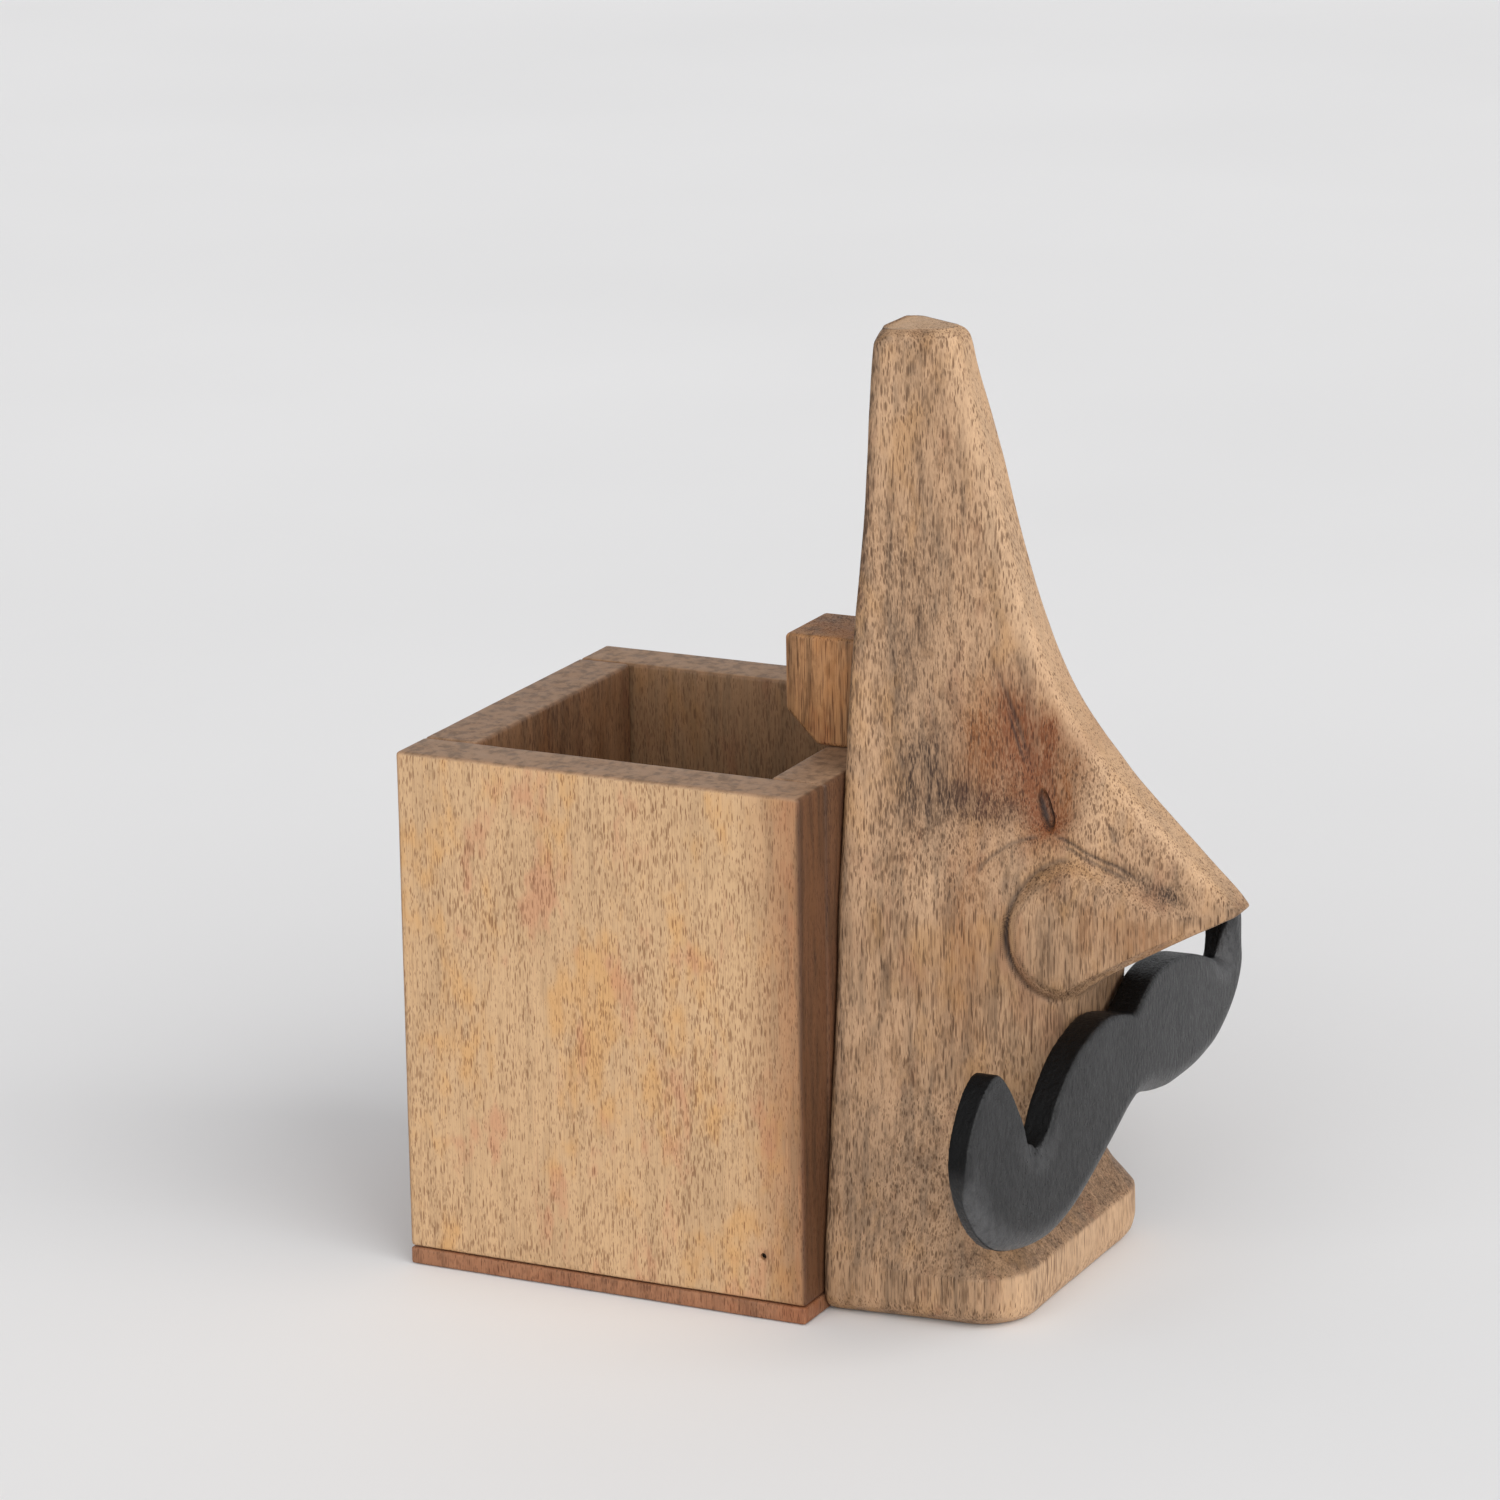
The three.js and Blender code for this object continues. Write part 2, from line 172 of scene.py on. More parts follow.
class Nodes:
    """Short names for building a shader node tree."""

    def __init__(self, name):
        self.material = bpy.data.materials.new(name)
        self.material.use_nodes = True
        self.tree = self.material.node_tree
        self.shader = self.tree.nodes["Principled BSDF"]

    def add(self, kind, **settings):
        node = self.tree.nodes.new(kind)
        for key, value in settings.items():
            setattr(node, key, value)
        return node

    def put(self, socket, value):
        if isinstance(value, bpy.types.NodeSocket):
            self.tree.links.new(value, socket)
        else:
            socket.default_value = value

    def place(self, scale=(1, 1, 1), offset=(0, 0, 0), turn=(0, 0, 0)):
        """Position on the object in millimetres, then turned, moved and scaled."""
        coords = self.add("ShaderNodeTexCoord").outputs["Object"]
        mapping = self.add("ShaderNodeMapping")
        self.put(mapping.inputs["Vector"], coords)
        mapping.inputs["Scale"].default_value = [s / MM for s in scale]
        mapping.inputs["Location"].default_value = offset
        mapping.inputs["Rotation"].default_value = turn
        return mapping.outputs["Vector"]

    def math(self, operation, a, b=0.0, c=0.0, clamp=False):
        node = self.add("ShaderNodeMath", operation=operation, use_clamp=clamp)
        for socket, value in zip(node.inputs, (a, b, c)):
            self.put(socket, value)
        return node.outputs[0]

    def moved(self, vector, by):
        node = self.add("ShaderNodeVectorMath", operation="ADD")
        self.put(node.inputs[0], vector)
        self.put(node.inputs[1], by)
        return node.outputs["Vector"]

    def noise(self, vector, scale=1.0, detail=2.0, rough=0.5, warp=0.0):
        node = self.add("ShaderNodeTexNoise")
        self.put(node.inputs["Vector"], vector)
        node.inputs["Scale"].default_value = scale
        node.inputs["Detail"].default_value = detail
        node.inputs["Roughness"].default_value = rough
        node.inputs["Distortion"].default_value = warp
        return node.outputs["Fac"]

    def cells(self, vector):
        """Distance to the middle of the nearest cell, and that cell's own random colour."""
        node = self.add("ShaderNodeTexVoronoi")
        self.put(node.inputs["Vector"], vector)
        node.inputs["Scale"].default_value = 1.0
        return node.outputs["Distance"], node.outputs["Color"]

    def span(self, value, low, high, to_low=0.0, to_high=1.0):
        """Value mapped softly from low..high to to_low..to_high."""
        node = self.add("ShaderNodeMapRange", interpolation_type="SMOOTHSTEP")
        for socket, v in zip(node.inputs, (value, low, high, to_low, to_high)):
            self.put(socket, v)
        return node.outputs[0]

    def ramp(self, value, stops):
        node = self.add("ShaderNodeValToRGB")
        self.put(node.inputs[0], value)
        elements = node.color_ramp.elements
        while len(elements) < len(stops):
            elements.new(0.5)
        for element, (at, colour) in zip(elements, stops):
            element.position = at
            element.color = (*colour, 1)
        return node.outputs[0]

    def mix(self, a, b, share, blend="MIX"):
        node = self.add("ShaderNodeMix", data_type="RGBA", blend_type=blend)
        self.put(node.inputs[0], share)
        for socket, value in ((node.inputs[6], a), (node.inputs[7], b)):
            self.put(socket, (*value, 1) if isinstance(value, tuple) else value)
        return node.outputs[2]

    def bump(self, height, strength, distance):
        node = self.add("ShaderNodeBump")
        node.inputs["Strength"].default_value = strength
        node.inputs["Distance"].default_value = distance
        self.put(node.inputs["Height"], height)
        return node.outputs[0]


def linear(r, g, b):
    """Linear colour from 0-255 display values."""
    return tuple(((v / 255 + 0.055) / 1.055) ** 2.4 if v > 10 else v / 3295 for v in (r, g, b))


def axis_mask(m, axis, low, high):
    """1 past high and 0 before low along one axis of the object, in millimetres."""
    split = m.add("ShaderNodeSeparateXYZ")
    m.put(split.inputs[0], m.place())
    return m.span(split.outputs[axis], low, high)


def wood(name, base, dash, warm, red, seed, dashes=0.8, figure=0.5, patches=0.6, lean=0.0,
         length=1.0, faces=(), stains_and_shading=()):
    """Open-pored hardwood with its grain along Z, turned by lean.

    length stretches the grain dashes.
    faces are (axis, low, high, colour, strength, calm): an end or a shaded face of the board,
    where calm is how much of the grain is gone.
    stains_and_shading are (attribute, colour, strength, broken): carved areas marked on the mesh,
    stains of the wood together with painted light and shade, broken up by the grain from 0 to 1.
    """
    m = Nodes(name)
    offset = (seed * 37.1, seed * 11.9, seed * 53.3)
    turn = (0, lean, 0)
    base, dash, warm, red = (linear(*t) for t in (base, dash, warm, red))
    light = tuple(min(1.0, v * (1 + 0.16 * figure)) for v in base)
    deep = tuple(v * (1 - 0.38 * figure) for v in base)

    wander = m.noise(m.place((0.03, 0.03, 0.014), offset), 1.0, 2)
    drift = m.add("ShaderNodeCombineXYZ")
    m.put(drift.inputs[0], m.math("MULTIPLY", wander, 6.0))
    m.put(drift.inputs[1], m.math("MULTIPLY", wander, 6.0))
    streak_at = m.moved(m.place((0.32, 0.32, 0.014), offset, turn), drift.outputs[0])
    streak = m.noise(streak_at, 1.0, 3, 0.55)
    ribbon = m.noise(m.place((1.1, 1.1, 0.03), offset, turn), 1.0, 3, 0.6)
    tone = m.math("ADD", m.math("MULTIPLY", streak, 0.6), m.math("MULTIPLY", ribbon, 0.4))
    colour = m.ramp(tone, [(0.38, deep), (0.5, base), (0.61, light)])
    mottle = m.noise(m.place((0.6, 0.6, 0.22), offset, turn), 1.0, 4, 0.7)
    colour = m.mix(colour, (0.72, 0.68, 0.63), m.span(mottle, 0.48, 0.66, 0, figure), "MULTIPLY")

    orange_patch = m.noise(m.place((0.11, 0.11, 0.055), (seed * 7.7, 3.1, seed)), 1.0, 3, 0.65)
    red_patch = m.noise(m.place((0.14, 0.14, 0.06), (3.3, seed * 5.1, seed)), 1.0, 3, 0.65)
    colour = m.mix(colour, warm, m.span(orange_patch, 0.5, 0.68, 0, patches))
    colour = m.mix(colour, red, m.span(red_patch, 0.54, 0.7, 0, patches))

    hair = m.noise(m.place((4.6, 4.6, 0.1), offset, turn), 1.0, 2, 0.6)
    flame = m.noise(m.place((0.7, 0.7, 0.1), offset), 1.0, 4, 0.65)
    torn = m.math("MULTIPLY", m.span(flame, 0.32, 0.62, 0.3, 1.5), m.span(hair, 0.38, 0.6, 1.5, 0.5))
    for attribute, tint, strength, broken in stains_and_shading:
        node = m.add("ShaderNodeAttribute", attribute_name=attribute)
        share = m.math("MULTIPLY", torn, broken)
        share = m.math("ADD", share, 1.0 - broken)
        amount = m.math("MULTIPLY", node.outputs["Fac"], share)
        amount = m.math("MULTIPLY", amount, strength, clamp=True)
        colour = m.mix(colour, linear(*tint), amount)

    along = 1.0 / length
    crowd = m.noise(m.place((0.09, 0.09, 0.04), offset), 1.0, 2)
    sway = m.noise(m.place((0.12, 0.12, 0.1), offset), 1.0, 2)
    bend = m.add("ShaderNodeCombineXYZ")
    m.put(bend.inputs[0], m.math("MULTIPLY", sway, 2.4))
    texture = m.span(hair, 0.3, 0.5, 0.45, 0)
    for across, stretch, shift in PORE_LAYERS:
        start = tuple(v + shift for v in offset)
        at = m.place((across, across, stretch * along), start, turn)
        near, cell = m.cells(m.moved(at, bend.outputs[0]))
        pick = m.add("ShaderNodeSeparateColor")
        m.put(pick.inputs[0], cell)
        width = m.span(pick.outputs[0], 0.0, 1.0, 0.18, 0.4)
        width = m.math("MULTIPLY", width, m.span(crowd, 0.3, 0.7, 0.75, 1.2))
        pore = m.math("SUBTRACT", 1.0, m.span(m.math("DIVIDE", near, width), 0.55, 1.15))
        pore = m.math("MULTIPLY", pore, m.span(pick.outputs[1], 0.0, 1.0, 0.3, 1.0))
        texture = m.math("MAXIMUM", texture, pore)

    shown = 1.0
    for axis, low, high, face_colour, strength, calm in faces:
        mask = axis_mask(m, axis, low, high)
        blotch = m.noise(m.place((0.6, 0.6, 0.06), offset), 1.0, 4, 0.6)
        tone = m.mix(linear(*face_colour), tuple(v * 0.55 for v in linear(*face_colour)),
                     m.span(blotch, 0.4, 0.66))
        colour = m.mix(colour, tone, m.math("MULTIPLY", mask, strength))
        shown = m.math("SUBTRACT", shown, m.math("MULTIPLY", mask, calm), clamp=True)
    texture = m.math("MULTIPLY", texture, shown)

    ratio = tuple(min(1.0, d / b) for d, b in zip(dash, base))
    darker = m.mix(colour, ratio, 1.0, "MULTIPLY")
    colour = m.mix(colour, darker, m.math("MULTIPLY", texture, dashes, clamp=True))

    height = m.math("SUBTRACT", m.math("MULTIPLY", streak, 0.3), texture)
    m.put(m.shader.inputs["Normal"], m.bump(height, 0.3, 0.00012))
    m.put(m.shader.inputs["Base Color"], colour)
    m.put(m.shader.inputs["Roughness"], m.span(m.math("ADD", streak, texture), 0.2, 1.2, 0.48, 0.72))
    m.shader.inputs["Specular IOR Level"].default_value = 0.35
    return m.material


def black_paint():
    """Satin black paint brushed over wood, lighter along the lower edge as a painted reflection of
    the floor.
    """
    m = Nodes("black_paint")
    near, cell = m.cells(m.place((1.1, 1.1, 1.6), (3, 7, 1), (0, 0.5, 0)))
    pick = m.add("ShaderNodeSeparateColor")
    m.put(pick.inputs[0], cell)
    crowd = m.noise(m.place((0.09, 0.09, 0.09), (2, 2, 8)), 1.0, 2)
    pit = m.math("SUBTRACT", 1.0, m.span(near, 0.1, 0.26))
    pit = m.math("MULTIPLY", pit, m.span(pick.outputs[1], 0.3, 0.7))
    pit = m.math("MULTIPLY", pit, m.span(crowd, 0.42, 0.62))
    cloud = m.noise(m.place((0.1, 0.1, 0.1)), 1.0, 4, 0.6)
    brushed = m.noise(m.place((1.6, 1.6, 0.7), (0, 0, 0), (0, 0.6, 0)), 1.0, 4, 0.7)
    # Light specks and the uneven brushed tone: partly the paint's own tone, partly painted glints and
    # sheen of the brush marks.
    speck = m.span(m.noise(m.place((0.9, 0.9, 0.9), (5, 5, 5)), 1.0, 1), 0.76, 0.82, 0, 0.12)
    brush_tone_and_sheen = m.noise(m.place((0.9, 0.9, 0.5), (4, 1, 6), (0, 0.6, 0)), 1.0, 5, 0.75)
    colour = m.ramp(brush_tone_and_sheen, [(0.38, (0.0025, 0.0026, 0.003)), (0.64, (0.0135, 0.0137, 0.0145))])
    colour = m.mix(colour, linear(120, 118, 116), speck)
    # Painted reflection: the rounded lower edge is made lighter, as if the pale floor showed in it.
    wear_and_reflection = m.add("ShaderNodeAttribute", attribute_name="wear_and_reflection_edge").outputs["Fac"]
    wear_and_reflection = m.math("MULTIPLY", wear_and_reflection, m.span(brush_tone_and_sheen, 0.35, 0.62, 0.6, 1.0))
    colour = m.mix(colour, (0.075, 0.075, 0.077), wear_and_reflection)
    # Painted shade: the upper and side edges are made near black and less shiny.
    upper = m.add("ShaderNodeAttribute", attribute_name="upper_edge").outputs["Fac"]
    colour = m.mix(colour, (0.001, 0.001, 0.001), m.math("MULTIPLY", upper, 0.8))
    m.put(m.shader.inputs["Specular IOR Level"], m.span(upper, 0.0, 1.0, 0.4, 0.12))
    height = m.math("SUBTRACT", m.math("ADD", m.math("MULTIPLY", brushed, 0.6),
                                       m.math("MULTIPLY", cloud, 0.8)), pit)
    m.put(m.shader.inputs["Normal"], m.bump(height, 0.8, 0.0008))
    m.put(m.shader.inputs["Base Color"], colour)
    m.put(m.shader.inputs["Roughness"], m.span(brushed, 0.3, 0.7, 0.3, 0.46))
    return m.material


def steel(name, tone, rough):
    """Plain steel, brushed and a little tarnished."""
    m = Nodes(name)
    brushed = m.noise(m.place((3, 0.6, 3)), 1.0, 4, 0.6)
    tint = m.noise(m.place((0.7, 0.7, 0.7), (2, 2, 2)), 1.0, 3)
    colour = m.ramp(tint, [(0.3, tuple(v * 0.45 for v in linear(*tone))), (0.7, linear(*tone))])
    m.put(m.shader.inputs["Base Color"], colour)
    m.put(m.shader.inputs["Roughness"], m.span(brushed, 0.2, 0.8, rough - 0.1, rough + 0.15))
    m.put(m.shader.inputs["Normal"], m.bump(brushed, 0.15, 0.00005))
    m.shader.inputs["Metallic"].default_value = 1.0
    return m.material


# ---------------------------------------------------------------- pieces

def board(name, node, material, slot, edge=0.7, seed=1, wear_and_reflection=0.12):
    """A sawn and sanded board: softened edges, faces a little uneven, corners showing slight wear."""
    low, high = (np.array(v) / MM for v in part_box(node))
    work = bmesh.new()
    bmesh.ops.create_cube(work, size=1.0)
    for v in work.verts:
        v.co = Vector(low + (np.array(v.co) + 0.5) * (high - low))
    bmesh.ops.bevel(work, geom=work.edges[:], offset=edge, segments=4, profile=0.55,
                    affect="EDGES", clamp_overlap=True)
    for axis in range(3):
        span = high[axis] - low[axis]
        cuts = int(min(26, span // 3))
        for k in range(1, cuts):
            at = [0, 0, 0]
            at[axis] = low[axis] + span * k / cuts
            way = [0, 0, 0]
            way[axis] = 1
            bmesh.ops.bisect_plane(work, geom=work.verts[:] + work.edges[:] + work.faces[:],
                                   plane_co=at, plane_no=way)
    bmesh.ops.recalc_face_normals(work, faces=work.faces[:])
    work.normal_update()
    co = np.array([v.co for v in work.verts])
    normals = np.array([v.normal for v in work.verts])
    co = roughen(co, normals, 22.0, wear_and_reflection, seed)
    co = roughen(co, normals, 6.0, wear_and_reflection * 0.35, seed + 3)
    for v, p in zip(work.verts, co):
        v.co = Vector(p) * MM
    piece = solid(name, work)
    piece.data.shade_smooth()
    return finished(piece, material, slot, node)


def pin_mouth(piece, node):
    """Open the board in front of a pin that was driven below its face."""
    low, high = (np.array(v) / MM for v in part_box(node))
    radius = (high[2] - low[2]) / 2 * MOUTH_SHARE
    bore = bmesh.new()
    rings = []
    for x in (low[0] - 2.0, low[0] + 0.3):
        ring = []
        for k in range(MOUTH_SIDES):
            a = 2 * math.pi * k / MOUTH_SIDES
            y = (low[1] + high[1]) / 2 + radius * math.cos(a)
            z = (low[2] + high[2]) / 2 + radius * math.sin(a)
            ring.append(bore.verts.new(Vector((x, y, z)) * MM))
        rings.append(ring)
    for k in range(MOUTH_SIDES):
        n = (k + 1) % MOUTH_SIDES
        bore.faces.new((rings[0][k], rings[0][n], rings[1][n], rings[1][k]))
    bore.faces.new(rings[0])
    bore.faces.new(rings[1][::-1])
    bmesh.ops.recalc_face_normals(bore, faces=bore.faces[:])
    cut(piece, solid("bore", bore))


# Nose sections, in millimetres: height, half width at the back, reach of the front face,
# half width of the front face, and the rounding of the front corners.
NOSE_SECTIONS = np.array([
    [0, 26.6, 29.6, 24.2, 8.5],
    [0.8, 28.2, 30.6, 25.8, 9],
    [2.2, 29.3, 31.3, 27.8, 9.4],
    [4.5, 29.8, 31.6, 28.4, 9.6],
    [8.6, 29.7, 31.6, 28.4, 9.6],
    [9.7, 29.6, 30.9, 27.8, 9.4],
    [13.4, 29.2, 28, 26.2, 9],
    [17, 28.8, 26.6, 24.6, 8],
    [24, 27.9, 28.6, 20.8, 6],
    [31, 27.1, 32, 16, 5],
    [36, 26.5, 34, 12.6, 4],
    [46, 25.3, 34.5, 11, 3],
    [50, 24.8, 34.7, 10.8, 2.6],
    [51.8, 24.6, 36.4, 10.4, 2.2],
    [58, 24, 46.6, 7.2, 1.6],
    [62.8, 23.6, 55.7, 3.9, 1.5],
    [63.9, 23.5, 57.7, 3.2, 1.6],
    [64.6, 23.4, 58.2, 2.9, 1.7],
    [65.5, 23.3, 57.6, 3.0, 1.8],
    [70, 22.7, 53, 3.2, 2],
    [76, 21.9, 46.7, 3.3, 2.1],
    [86, 20.6, 36.9, 3.4, 2.3],
    [96.4, 19.2, 29.2, 3.5, 2.4],
    [110, 16.4, 23.3, 3.5, 2.5],
    [131, 12.2, 17.6, 3.3, 2.4],
    [146, 9.9, 13.2, 3.0, 2.2],
    [150.2, 9.2, 12.2, 2.8, 2.0],
    [151.4, 8.6, 11.4, 2.3, 1.8],
    [152, 7.2, 10.4, 1.7, 1.5],
])
NOSE_HEIGHT = 152.0
NOSE_SIDE_STEPS = 150
NOSE_TOP_RINGS = (0.85, 0.6, 0.3, 0.08)

# Carved lines on the side of the nose, as reach and height in millimetres: the fold that runs
# down to the leaf-shaped crack, the two lines over the wing, the cheek line and the wing itself
FOLD = ((17.5, 106), (19.4, 102), (21.2, 97.5), (22.7, 93.5), (24.4, 89), (25.8, 85), (26.8, 83))
LEAF_WIDTH = 0.66
LEAF_ENDS = 0.4
LEAF = ((26.9, 84.0), (27.7, 81.0), (28.4, 79.2), (29.3, 77.2), (30.2, 74.6))
SMILE = ((30.1, 75.6), (31.5, 75.3), (33.5, 74.4), (35.5, 73.2), (38, 72.1), (40, 71.3), (42, 70),
         (43.6, 68.8))
SMILE_LOW = ((31.8, 74.3), (33.4, 73.6), (35, 72.6), (37, 71.7), (40, 70.2), (42.6, 68.8))
LEAF_SLIVER = ((27.4, 82.0), (28.0, 80.3), (28.7, 78.6), (29.6, 76.4))
CHEEK = ((28.6, 75.4), (27, 75.3), (24.5, 74.5), (22.5, 73), (21, 71.5), (20, 69.6))
WING_TOP = ((24, 73.2), (33.4, 72.6), (35.5, 72.2), (38, 71.3), (42.5, 68.9), (48, 66.5), (58, 64))
WING = (33.5, 61.0)
WING_SIZE = (8.9, 11.3)
WING_RISE = 1.5


def distance_to_path(y, z, path):
    """Distance to a line of points, and the share of the way along it."""
    best = np.full(np.shape(y), 1e9)
    along = np.zeros(np.shape(y))
    total = len(path) - 1
    for i, ((y0, z0), (y1, z1)) in enumerate(zip(path[:-1], path[1:])):
        dy, dz = y1 - y0, z1 - z0
        t = np.clip(((y - y0) * dy + (z - z0) * dz) / (dy * dy + dz * dz), 0, 1)
        d = np.hypot(y - y0 - t * dy, z - z0 - t * dz)
        closer = d < best
        best = np.where(closer, d, best)
        along = np.where(closer, (i + t) / total, along)
    return best, along


def stroke(y, z, path, width, ends=0.15):
    """1 on a line and 0 away from it, thinning out at both ends."""
    away, along = distance_to_path(y, z, path)
    taper = smoothstep(0, ends, along) * (1 - smoothstep(1 - ends, 1, along))
    return np.exp(-((away / width) ** 2)) * taper


def spot(y, z, centre, size, lean=0.0):
    """1 in the middle of an oval and 0 outside it, in a soft fall."""
    dy, dz = y - centre[0], z - centre[1]
    c, s = math.cos(lean), math.sin(lean)
    return np.exp(-(((dy * c + dz * s) / size[0]) ** 2 + ((dz * c - dy * s) / size[1]) ** 2))


def wing_inside(y, z):
    """Distance inside the outline of the nostril wing, in millimetres; negative outside."""
    dy = np.minimum((y - WING[0]) / WING_SIZE[0], 0)
    dz = (z - WING[1]) / WING_SIZE[1]
    disc = (1 - np.hypot(dy, dz)) * 10.0
    top = np.interp(y, [p[0] for p in WING_TOP], [p[1] for p in WING_TOP])
    return np.where(y < WING[0], disc, (top - z) * 0.92)


def wing_groove(y, z):
    """The cut line round the back of the wing, deepest halfway down."""
    inside = wing_inside(y, z)
    back = 1 - smoothstep(31.5, 34.5, y)
    deep = 0.45 + 0.55 * np.exp(-(((z - 60) / 5.5) ** 2)) * (1 - smoothstep(25.5, 30, y))
    line = np.exp(-(((inside - 0.1) / 0.33) ** 2)) * back * deep
    rim = np.exp(-(((inside - 2.1) / 0.3) ** 2)) * back * 0.25
    return line, rim


def side_relief(y, z):
    """How far the carved side of the nose stands out, in millimetres, at a reach and height."""
    inside = wing_inside(y, z)
    fade = 1 - smoothstep(42, 56, y)
    low = smoothstep(49.2, 51.2, z)
    rise = WING_RISE * smoothstep(-0.2, 2.6, inside) * fade * low
    line, rim = wing_groove(y, z)
    cuts = 0.75 * line + 0.2 * rim
    cuts = cuts + 0.22 * stroke(y, z, SMILE, 0.3) + 0.2 * stroke(y, z, SMILE_LOW, 0.3)
    cuts = cuts + 0.18 * stroke(y, z, CHEEK, 0.4) + 0.25 * stroke(y, z, FOLD, 0.4, 0.6)
    leaf = stroke(y, z, LEAF, LEAF_WIDTH, LEAF_ENDS)
    cuts = cuts + 1.0 * smoothstep(0.15, 0.75, leaf)
    away, along = distance_to_path(y, z, FOLD + LEAF[1:])
    valley = 1.7 * np.exp(-((away / 4.5) ** 2)) * smoothstep(0, 0.5, along)
    valley = valley * (1 - 0.6 * smoothstep(0.85, 1, along))
    brow = 0.6 * spot(y, z, (36, 79), (5.5, 8), -0.6)
    hollow = 0.7 * spot(y, z, (17, 80), (8, 6)) + 0.5 * spot(y, z, (45, 69), (5, 3), -0.4)
    cheek = 0.6 * spot(y, z, (15, 64), (8, 13))
    return rise - cuts - valley + brow - hollow + cheek


def side_stains_and_shading(y, z):
    """Where the wood of the side is darker, redder, warmer or paler, each from 0 to 1, with painted
    shade in the cut lines, along the back edge and below the moustache.
    """
    line, rim = wing_groove(y, z)
    leaf = stroke(y, z, LEAF, LEAF_WIDTH, LEAF_ENDS)
    sliver = stroke(y, z, LEAF_SLIVER, 0.2, 0.2)
    # The cut lines and the crack are darkened: dirt in the cuts, and painted shade in them.
    crease_dirt_and_shade = np.maximum.reduce([
        1.2 * line, rim * 1.2, 0.8 * stroke(y, z, SMILE, 0.2), 0.7 * stroke(y, z, SMILE_LOW, 0.2),
        0.55 * stroke(y, z, CHEEK, 0.26), 0.8 * stroke(y, z, FOLD, 0.24, 0.6),
        0.85 * stroke(y, z, ((21.2, 96.5), (22.6, 92), (24, 88), (25.4, 85)), 0.2, 0.4),
        0.98 * smoothstep(0.25, 0.6, leaf) - sliver,
        0.4 * stroke(y, z, ((31.7, 71.9), (29, 70.2), (27.4, 67.3)), 0.3),
        0.5 * stroke(y, z, ((38.4, 77.6), (39, 76), (39.6, 74.6)), 0.4),
        0.3 * stroke(y, z, ((7.6, 56), (8, 53), (8.2, 50)), 0.3),
    ])
    away, along = distance_to_path(y, z, FOLD[2:] + LEAF[1:4])
    arc = np.hypot((y - 26.6) * 0.9, (z - 88) * 0.5)
    red = np.maximum(np.exp(-((away / 3.2) ** 2)) * smoothstep(-0.15, 0.2, along),
                     0.95 * np.exp(-(((arc - 1.6) / 1.9) ** 2)))
    red = np.maximum(red, 0.5 * spot(y, z, (27.3, 74.4), (1.8, 2.2)))
    red = np.maximum(red, 0.6 * spot(y, z, (22.5, 88), (5, 9), -0.2))
    # Dark stains of the wood, with painted shade along the back edge where the nose meets the well
    # and below the moustache lobe.
    dark_stain_and_shade = np.maximum.reduce([
        1.0 * spot(y, z, (17.5, 81), (7, 3.2), -0.25), 0.8 * spot(y, z, (11.5, 84.5), (4.5, 8)),
        0.8 * spot(y, z, (23.5, 79.3), (3.6, 2.4)), 0.8 * spot(y, z, (47.4, 67.3), (3.6, 1.3), -0.45),
        0.5 * spot(y, z, (43, 69.6), (3.4, 1.2), -0.5), 0.55 * spot(y, z, (52, 63.4), (3, 1.2), -0.4),
        0.45 * spot(y, z, (8, 103), (3.2, 16)), 0.35 * spot(y, z, (8.6, 141), (1.3, 9), -0.25),
        0.5 * spot(y, z, (25, 12), (4, 2.2)), 0.5 * (1 - smoothstep(0.5, 2.6, y)),
        0.28 * spot(y, z, (31, 58), (3.5, 7)),
    ])
    amber = np.maximum.reduce([
        0.9 * spot(y, z, (19.4, 89.5), (4.2, 8)), 0.8 * spot(y, z, (24, 82), (2.4, 4)),
        0.45 * spot(y, z, (44, 61), (6, 4), -0.4), 0.8 * spot(y, z, (31, 82), (2.8, 7.5), -0.2),
        0.5 * spot(y, z, (36.8, 62.5), (1.2, 4)),
        0.45 * spot(y, z, (19, 60), (3.4, 16)), 0.4 * spot(y, z, (32.4, 69), (1.8, 2.4)),
    ])
    pale = np.maximum.reduce([
        0.6 * spot(y, z, (38, 81), (4.5, 8), -0.7), 0.55 * spot(y, z, (13.6, 66), (2, 6)),
        0.4 * spot(y, z, (3.6, 70), (1.8, 30)), 0.4 * spot(y, z, (3, 140), (2.6, 12)),
        0.9 * sliver, 0.35 * spot(y, z, (25.7, 60.5), (0.5, 6)),
    ])
    return {"crease_dirt_and_shade": crease_dirt_and_shade, "red": red, "dark_stain_and_shade": dark_stain_and_shade, "amber": amber, "pale": pale}


def nose_levels():
    """Heights of the layers: close where the carving is fine."""
    knots = [(0, 0.35), (4, 0.5), (9, 0.35), (16, 0.8), (47, 0.6), (50, 0.3), (84, 0.3),
             (88, 0.5), (104, 0.9), (145, 0.9), (150, 0.4), (NOSE_HEIGHT, 0.2)]
    levels = [0.0]
    while levels[-1] < NOSE_HEIGHT:
        step = np.interp(levels[-1], [k[0] for k in knots], [k[1] for k in knots])
        levels.append(levels[-1] + step)
    levels[-1] = NOSE_HEIGHT
    return np.array(levels)


